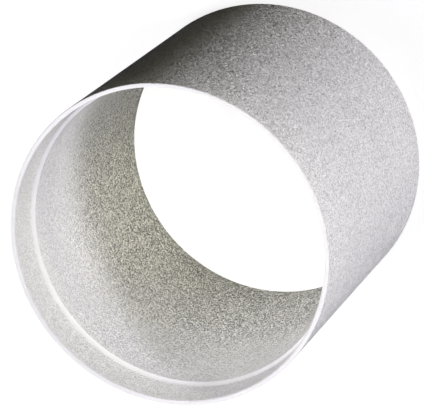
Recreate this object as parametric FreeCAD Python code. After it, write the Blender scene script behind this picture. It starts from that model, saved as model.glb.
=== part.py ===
import FreeCAD, Part
import math
import os

# Driving sizes in mm; the tube stands on its plain end with its axis on Z
OUTER_DIAMETER = 100.0
LENGTH = 100.0

# Socket: the thin lip around the open end, and the shoulder that stops a duct pushed into it
LIP_WALL = 1.4
SOCKET_DEPTH = 13.8
SHOULDER_WIDTH = 1.0
# The shoulder is a cove that curves up into the socket's wall
COVE_RADIUS = 2.0

# Edges: a rounded rim with a softer lead-in to the socket, and chamfers at the plain end
RIM_ROUND = 0.3
LEAD_IN_ROUND = 0.5
PLAIN_END_CHAMFER = 0.4

# Largest share of a wall that one edge may take
LARGEST_EDGE_SHARE = 0.4

# Radii of the three walls, and the height of the shoulder's inner edge
outer_radius = OUTER_DIAMETER / 2
socket_radius = outer_radius - LIP_WALL
bore_radius = socket_radius - SHOULDER_WIDTH
shoulder_height = LENGTH - SOCKET_DEPTH

# Edge sizes, each held back by the wall that carries it
rim_round = min(RIM_ROUND, LIP_WALL * LARGEST_EDGE_SHARE)
lead_in_round = min(LEAD_IN_ROUND, LIP_WALL * LARGEST_EDGE_SHARE)
plain_end_chamfer = min(PLAIN_END_CHAMFER, (LIP_WALL + SHOULDER_WIDTH) * LARGEST_EDGE_SHARE)

# The cove turns away from the socket's wall until it reaches the bore
cove_radius = max(COVE_RADIUS, SHOULDER_WIDTH)
cove_turn = math.acos(1 - SHOULDER_WIDTH / cove_radius)
cove_top = shoulder_height + cove_radius * math.sin(cove_turn)

# Directions around the section
UP = FreeCAD.Vector(0, 0, 1)
DOWN = FreeCAD.Vector(0, 0, -1)
OUTWARD = FreeCAD.Vector(1, 0, 0)
INWARD = FreeCAD.Vector(-1, 0, 0)


def point(radius, height):
    """A point of the wall's section, in the XZ plane."""
    return FreeCAD.Vector(radius, 0, height)


def rounded(corner, arriving, leaving, size):
    """A quarter turn in place of a square corner."""
    start = corner - arriving * size
    end = corner + leaving * size
    centre = start + leaving * size
    middle = centre + (corner - centre).normalize() * size
    return Part.Arc(start, middle, end).toShape()


def chamfered(corner, arriving, leaving, size):
    """A flat cut across a square corner."""
    start = corner - arriving * size
    end = corner + leaving * size
    return Part.LineSegment(start, end).toShape()


def cove_point(turn):
    """A point of the cove, by its turn from the socket's wall."""
    centre = point(socket_radius - cove_radius, cove_top)
    return centre + (OUTWARD * math.cos(turn) + DOWN * math.sin(turn)) * cove_radius


def closed_face(edges):
    """A face whose boundary joins the given edges, in order, with straight sides."""
    boundary = []
    for index, edge in enumerate(edges):
        following = edges[(index + 1) % len(edges)]
        side = Part.LineSegment(edge.lastVertex(True).Point, following.firstVertex(True).Point)
        boundary.append(edge)
        boundary.append(side.toShape())
    return Part.Face(Part.Wire(boundary))


# Section of the wall, from the plain end up the outside, over the rim and down the inside
section = closed_face([
    chamfered(point(outer_radius, 0), OUTWARD, UP, plain_end_chamfer),
    rounded(point(outer_radius, LENGTH), UP, INWARD, rim_round),
    rounded(point(socket_radius, LENGTH), INWARD, DOWN, lead_in_round),
    Part.Arc(cove_point(0), cove_point(cove_turn / 2), cove_point(cove_turn)).toShape(),
    chamfered(point(bore_radius, 0), DOWN, OUTWARD, plain_end_chamfer),
])

# One full turn of the section makes the tube
duct_connector = section.revolve(FreeCAD.Vector(0, 0, 0), FreeCAD.Vector(0, 0, 1), 360)

os.makedirs("parts", exist_ok=True)
duct_connector.exportStep("parts/duct_connector.step")
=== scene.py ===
import math

import bpy
from mathutils import Matrix, Vector


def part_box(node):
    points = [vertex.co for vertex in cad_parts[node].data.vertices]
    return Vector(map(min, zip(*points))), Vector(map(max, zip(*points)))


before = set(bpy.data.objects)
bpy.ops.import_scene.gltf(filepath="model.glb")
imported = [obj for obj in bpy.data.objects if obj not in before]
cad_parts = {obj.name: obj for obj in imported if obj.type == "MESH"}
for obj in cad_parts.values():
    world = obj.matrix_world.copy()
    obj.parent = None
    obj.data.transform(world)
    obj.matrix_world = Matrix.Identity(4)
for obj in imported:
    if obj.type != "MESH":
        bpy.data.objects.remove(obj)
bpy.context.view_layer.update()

# The tube as packed: it stands on its plain end, with its axis on Z; lengths are in metres
NODE = "duct_connector"
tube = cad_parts[NODE]
highest_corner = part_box(NODE)[1]
RADIUS = highest_corner.x
LENGTH = highest_corner.z

# Metal: its colour and gloss, and a mottle that changes its tone and roughness a little
WALL_COLOUR = (0.88, 0.87, 0.842)
GLOSS = 0.0
MOTTLE_SIZE = 0.022
MOTTLE_DETAIL = 3.0
MOTTLE_SPAN = (0.3, 0.7)
MOTTLE_TONE = (0.98, 1.02)
MOTTLE_ROUGHNESS = (0.58, 0.7)

# Grains of the metal: their size, their stretch along the tube, and how far each tilts and changes tone
GRAIN_SIZE = 0.00034
GRAIN_STRETCH = 1.35
GRAIN_TILT = (0.75, 0.75, 1.35)
SPECKLE = 0.19

# The grain fades on faces turned up or down, and it is calmer inside the tube near the mouth
SMOOTH_FACING = (0.1, 0.6)
SMOOTH_SPECKLE = 0.1
INSIDE_RADIUS = (RADIUS * 0.975, RADIUS * 0.985)
CALM_GRAIN = 0.5

# Its tones are stronger inside the tube towards the plain end
DEEP_HEIGHT = (LENGTH * 0.3, LENGTH * 0.72)
DEEP_SPECKLE = 2.1

# Colours of the lamps
KEY_TINT = (1.0, 0.985, 1.12)
SIDE_TINT = (1.0, 0.965, 0.62)
FILL_TINT = (1.0, 0.998, 1.04)
COOL_TINT = (1.0, 0.988, 1.145)
WARM_TINT = (1.0, 0.98, 0.75)
WARMER_TINT = (1.0, 0.975, 0.6)

# How far the lamps stand from their aims, and the height of the aim for those around the tube
LAMP_DISTANCE = 1.5
OVERHEAD_DISTANCE = 0.15
SNOOT_DISTANCE = 1.0
AIM_HEIGHT = LENGTH * 0.6

# Beam of a snoot: the radius of its source, and the share of the patch that fades out
SNOOT_SOURCE_RADIUS = 0.02
SNOOT_BLEND = 0.5

# Floor and room: the floor glows white further off and glows dimmer near the tube, which is painted shade
# round its foot, and both throw little light at the tube
WHITE = (1.0, 1.0, 1.0, 1.0)
FLOOR_HALF_WIDTH = 4.0
FLOOR_SHADE = (0.38, 0.38, 0.38, 1.0)
FLOOR_BOUNCE = (0.07, 0.07, 0.063, 1.0)
FLOOR_GLOW_AND_PAINTED_SHADE = (0.81, 1.0)
GLOW_AND_PAINTED_SHADE_DISTANCE = (0.2, 0.6)
ROOM_LIGHT = 0.013

# Camera of the photograph: angles in degrees, distance and aim in metres, lens and sensor in mm
VIEW_AZIMUTH = 38.75
VIEW_ELEVATION = 63.93
VIEW_ROLL = -131.8
VIEW_DISTANCE = 0.9043
VIEW_AIM = (-0.0034, -0.0021, 0.05)
LENS = 246.57
SENSOR_WIDTH = 36.0

# Plain spans, directions and the middle of a random colour, for the shaders
ZERO_TO_ONE = (0.0, 1.0)
ONE_TO_ZERO = (1.0, 0.0)
ACROSS_TUBE = (1.0, 1.0, 0.0)
MIDDLE_COLOUR = (0.5, 0.5, 0.5)


class Nodes:
    """The node tree of a material or the world, built one node at a time."""

    def __init__(self, owner):
        owner.use_nodes = True
        self.owner = owner
        self.tree = owner.node_tree
        self.tree.nodes.clear()

    def add(self, kind, *values, operation=None, **inputs):
        """A new node: values fill its inputs in order, and a named input has an underscore for a space."""
        node = self.tree.nodes.new("ShaderNode" + kind)
        if operation:
            node.operation = operation
        for position, value in enumerate(values):
            self.fill(node.inputs[position], value)
        for name, value in inputs.items():
            self.fill(node.inputs[name.replace("_", " ")], value)
        return node

    def fill(self, socket, value):
        """Links another node's output to an input, or sets the input's own value."""
        if isinstance(value, bpy.types.NodeSocket):
            self.tree.links.new(value, socket)
        else:
            socket.default_value = value

    def number(self, operation, *values):
        """The result of one operation on numbers."""
        return self.add("Math", *values, operation=operation).outputs[0]

    def vector(self, operation, *values):
        """The result of one operation on vectors."""
        return self.add("VectorMath", *values, operation=operation).outputs["Vector"]

    def scaled(self, vector, factor):
        """A vector times a number."""
        return self.add("VectorMath", vector, operation="SCALE", Scale=factor).outputs["Vector"]

    def length(self, vector):
        """How long a vector is."""
        return self.add("VectorMath", vector, operation="LENGTH").outputs["Value"]

    def ramp(self, value, span, result=ZERO_TO_ONE):
        """Carries a value smoothly from its own span to a span of results."""
        node = self.add("MapRange", Value=value)
        node.interpolation_type = "SMOOTHSTEP"
        limits = {"From Min": span[0], "From Max": span[1], "To Min": result[0], "To Max": result[1]}
        for name, limit in limits.items():
            self.fill(node.inputs[name], limit)
        return node.outputs[0]

    def factor(self, mask, strength):
        """A factor that is 1 where a mask is 0, and has this strength where the mask is 1."""
        return self.ramp(mask, ZERO_TO_ONE, (1.0, strength))


def grained_metal():
    """Matte metal of fine grains, each tilted and toned a little; cut faces and edges are smoother."""
    nodes = Nodes(bpy.data.materials.new("grained_metal"))
    coords = nodes.add("TexCoord")
    place = coords.outputs["Object"]

    # Masks: faces turned up or down, the inside of the tube, and the deep and the calm part of that
    facing = nodes.add("SeparateXYZ", coords.outputs["Normal"]).outputs["Z"]
    smooth = nodes.ramp(nodes.number("ABSOLUTE", facing), SMOOTH_FACING)
    radius = nodes.length(nodes.vector("MULTIPLY", place, ACROSS_TUBE))
    inside = nodes.ramp(radius, INSIDE_RADIUS, ONE_TO_ZERO)
    height = nodes.add("SeparateXYZ", place).outputs["Z"]
    deep = nodes.number("MULTIPLY", inside, nodes.ramp(height, DEEP_HEIGHT, ONE_TO_ZERO))
    calm = nodes.number("SUBTRACT", inside, deep)

    # Grains lie along the tube, and the random colour of each tilts the surface its own way
    drawn = nodes.vector("MULTIPLY", place, (1.0, 1.0, 1.0 / GRAIN_STRETCH))
    grains = nodes.add("TexVoronoi", Vector=drawn, Scale=1.0 / GRAIN_SIZE)
    tilt = nodes.vector("SUBTRACT", grains.outputs["Color"], MIDDLE_COLOUR)
    tilt = nodes.vector("MULTIPLY", tilt, GRAIN_TILT)
    tilt = nodes.scaled(tilt, nodes.factor(smooth, 0.0))
    tilt = nodes.scaled(tilt, nodes.factor(calm, CALM_GRAIN))
    normal = nodes.vector("ADD", nodes.add("NewGeometry").outputs["Normal"], tilt)
    normal = nodes.vector("NORMALIZE", normal)

    # Each grain also has its own tone, on top of the mottle's
    own_tone = nodes.add("TexWhiteNoise", Vector=grains.outputs["Position"]).outputs["Value"]
    fleck = nodes.ramp(own_tone, ZERO_TO_ONE, (-SPECKLE, SPECKLE))
    for mask, strength in ((deep, DEEP_SPECKLE), (calm, CALM_GRAIN), (smooth, SMOOTH_SPECKLE)):
        fleck = nodes.number("MULTIPLY", fleck, nodes.factor(mask, strength))
    clouds = nodes.add("TexNoise", Vector=place, Scale=1.0 / MOTTLE_SIZE, Detail=MOTTLE_DETAIL)
    mottle = clouds.outputs["Fac"]
    tone = nodes.number("ADD", fleck, nodes.ramp(mottle, MOTTLE_SPAN, MOTTLE_TONE))

    # No grain sends back more light than falls on it
    tone = nodes.number("MINIMUM", tone, 1.0 / max(WALL_COLOUR))
    shader = nodes.add(
        "BsdfPrincipled",
        Base_Color=nodes.scaled(WALL_COLOUR, tone),
        Metallic=0.0,
        Roughness=nodes.ramp(mottle, MOTTLE_SPAN, MOTTLE_ROUGHNESS),
        Specular_IOR_Level=GLOSS,
        Normal=normal,
    )
    nodes.add("OutputMaterial", Surface=shader.outputs[0])
    return nodes.owner


def seen_directly(nodes):
    """1 for the rays that show a surface to the camera, itself or in gloss and glass."""
    path = nodes.add("LightPath").outputs
    gloss_or_glass = nodes.number("MAXIMUM", path["Is Glossy Ray"], path["Is Transmission Ray"])
    return nodes.number("MAXIMUM", path["Is Camera Ray"], gloss_or_glass)


def pale_floor():
    """A white floor that keeps a soft real shadow near the tube, deepened there by painted shade where its
    glow is dimmed, and throws little light back at it.
    """
    nodes = Nodes(bpy.data.materials.new("pale_floor"))
    from_tube = nodes.length(nodes.add("TexCoord").outputs["Object"])
    # The glow is dimmer near the tube: painted shade round the tube's foot, on top of the real shadow in
    # the diffuse part
    glow_with_painted_shade = nodes.add("Emission", Color=WHITE, Strength=nodes.ramp(from_tube, GLOW_AND_PAINTED_SHADE_DISTANCE, FLOOR_GLOW_AND_PAINTED_SHADE))
    shaded = nodes.add("BsdfDiffuse", Color=FLOOR_SHADE)
    shown = nodes.add("AddShader", shaded.outputs[0], glow_with_painted_shade.outputs[0])
    bounce = nodes.add("BsdfDiffuse", Color=FLOOR_BOUNCE)
    surface = nodes.add("MixShader", seen_directly(nodes), bounce.outputs[0], shown.outputs[0])
    nodes.add("OutputMaterial", Surface=surface.outputs[0])
    return nodes.owner


def direction(azimuth, elevation):
    """The unit vector at two angles in degrees."""
    azimuth = math.radians(azimuth)
    elevation = math.radians(elevation)
    flat = math.cos(elevation)
    return Vector((flat * math.cos(azimuth), flat * math.sin(azimuth), math.sin(elevation)))


def at_mouth(azimuth, off_centre):
    """A point in the plane of the tube's mouth."""
    return Vector((0, 0, LENGTH)) + direction(azimuth, 0) * off_centre


def hang(light, aim, azimuth, elevation, distance):
    """Puts a light in the scene at a distance from its aim, turned to it."""
    away = direction(azimuth, elevation)
    hung = bpy.data.objects.new(light.name, light)
    hung.location = aim + away * distance
    hung.rotation_euler = away.to_track_quat("Z", "Y").to_euler()
    bpy.context.scene.collection.objects.link(hung)
    return hung


def lamp(name, aim, azimuth, elevation, radius, level, tint, distance=LAMP_DISTANCE):
    """A round softbox; at level 1 a white face turned to it at the aim renders white."""
    light = bpy.data.lights.new(name, "AREA")
    light.shape = "DISK"
    light.size = 2 * radius
    light.color = tint
    light.energy = level * math.pi ** 2 * (distance ** 2 + radius ** 2)
    softbox = hang(light, aim, azimuth, elevation, distance)
    softbox.visible_camera = False


def snoot(name, aim, azimuth, elevation, radius, level, tint):
    """A lamp narrowed to a soft round patch of this radius at the aim; its level is as for a softbox."""
    light = bpy.data.lights.new(name, "SPOT")
    light.spot_size = 2 * math.atan(radius / SNOOT_DISTANCE)
    light.spot_blend = SNOOT_BLEND
    light.shadow_soft_size = SNOOT_SOURCE_RADIUS
    light.color = tint
    light.energy = level * 4 * math.pi ** 2 * SNOOT_DISTANCE ** 2
    hang(light, aim, azimuth, elevation, SNOOT_DISTANCE)


def add_lights():
    """Key lamps on one side of the tube, broad fill lamps opposite, and lamps that reach inside."""
    middle = Vector((0, 0, AIM_HEIGHT))
    lamp("key_low", middle, azimuth=1.5, elevation=0, radius=0.05, level=0.34, tint=KEY_TINT)
    lamp("key_high", middle, azimuth=8, elevation=28, radius=0.16, level=0.41, tint=KEY_TINT)
    lamp("key_side", middle, azimuth=24, elevation=12, radius=0.05, level=0.1, tint=SIDE_TINT)
    lamp("fill", middle, azimuth=208, elevation=46, radius=0.37, level=0.48, tint=FILL_TINT)
    lamp("fill_low", middle, azimuth=215, elevation=6, radius=0.37, level=0.35, tint=FILL_TINT)

    # These light the inside of the tube, through its mouth
    aim = at_mouth(azimuth=90, off_centre=0.03)
    lamp(
        "overhead", aim, azimuth=0, elevation=90, radius=0.017, level=0.4, tint=COOL_TINT,
        distance=OVERHEAD_DISTANCE,
    )
    aim = at_mouth(azimuth=290, off_centre=0.012)
    snoot("socket_side", aim, azimuth=110, elevation=55, radius=0.044, level=0.33, tint=COOL_TINT)
    aim = at_mouth(azimuth=0, off_centre=0)
    snoot("bore_side", aim, azimuth=108, elevation=70, radius=0.041, level=0.36, tint=WARMER_TINT)
    aim = at_mouth(azimuth=20, off_centre=0.009)
    snoot("bore_deep", aim, azimuth=20, elevation=60, radius=0.034, level=0.58, tint=WARM_TINT)


def add_world():
    """White behind the floor, and dim light from all round."""
    world = bpy.data.worlds.new("studio")
    bpy.context.scene.world = world
    nodes = Nodes(world)
    strength = nodes.ramp(seen_directly(nodes), ZERO_TO_ONE, (ROOM_LIGHT, 1.0))
    background = nodes.add("Background", Color=WHITE, Strength=strength)
    nodes.add("OutputWorld", Surface=background.outputs[0])


def add_floor():
    """A wide square floor that the tube stands on."""
    half = FLOOR_HALF_WIDTH
    corners = [(-half, -half, 0), (half, -half, 0), (half, half, 0), (-half, half, 0)]
    mesh = bpy.data.meshes.new("floor")
    mesh.from_pydata(corners, [], [range(len(corners))])
    mesh.materials.append(pale_floor())
    floor = bpy.data.objects.new("floor", mesh)
    bpy.context.scene.collection.objects.link(floor)


def add_camera():
    """A camera where the photograph was taken from."""
    back = direction(VIEW_AZIMUTH, VIEW_ELEVATION)
    level_right = Vector((0, 0, 1)).cross(back).normalized()
    right = Matrix.Rotation(math.radians(VIEW_ROLL), 3, back) @ level_right
    up = back.cross(right)
    data = bpy.data.cameras.new("camera")
    data.sensor_width = SENSOR_WIDTH
    data.lens = LENS
    camera = bpy.data.objects.new("camera", data)
    turn = Matrix((right, up, back)).transposed().to_4x4()
    camera.matrix_world = Matrix.Translation(Vector(VIEW_AIM) + back * VIEW_DISTANCE) @ turn
    bpy.context.scene.collection.objects.link(camera)
    bpy.context.scene.camera = camera


metal = grained_metal()
for slot in tube.material_slots:
    slot.material = metal

add_floor()
add_lights()
add_world()
add_camera()
bpy.context.scene.view_settings.view_transform = "Standard"
